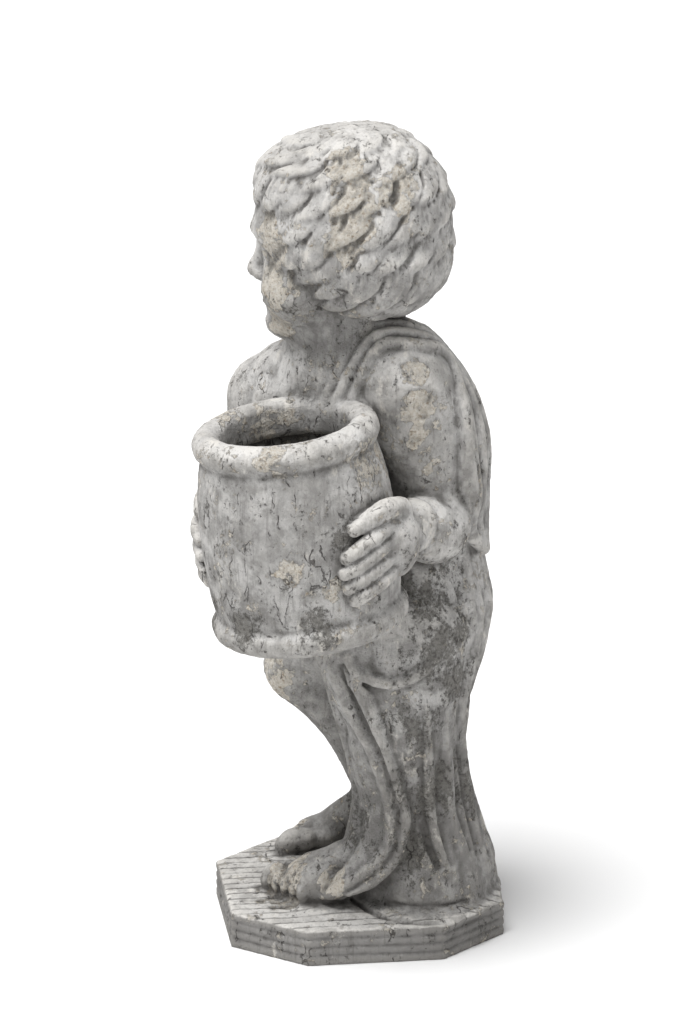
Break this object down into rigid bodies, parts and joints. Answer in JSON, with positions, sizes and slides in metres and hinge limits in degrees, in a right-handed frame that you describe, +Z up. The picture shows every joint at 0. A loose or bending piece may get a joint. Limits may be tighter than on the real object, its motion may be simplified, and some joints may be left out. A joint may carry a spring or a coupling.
{
  "type": "cherub garden statue",
  "caption": "Carved stone garden statue of a standing draped child holding a round open pot, on a low octagonal plinth that stands by its own weight.",
  "frame": {"origin": "middle of the plinth's flat underside", "axes": "+Z up, -Y the plinth's front, +X the figure's left"},
  "size_m": [0.3341, 0.3181, 0.8352],
  "materials": {
    "stone": "weathered, rough and matt light grey carved stone with cream patches and dark lichen"
  },
  "bodies": {
    "root": {"cherub_statue": "stone"}
  },
  "joints": []
}
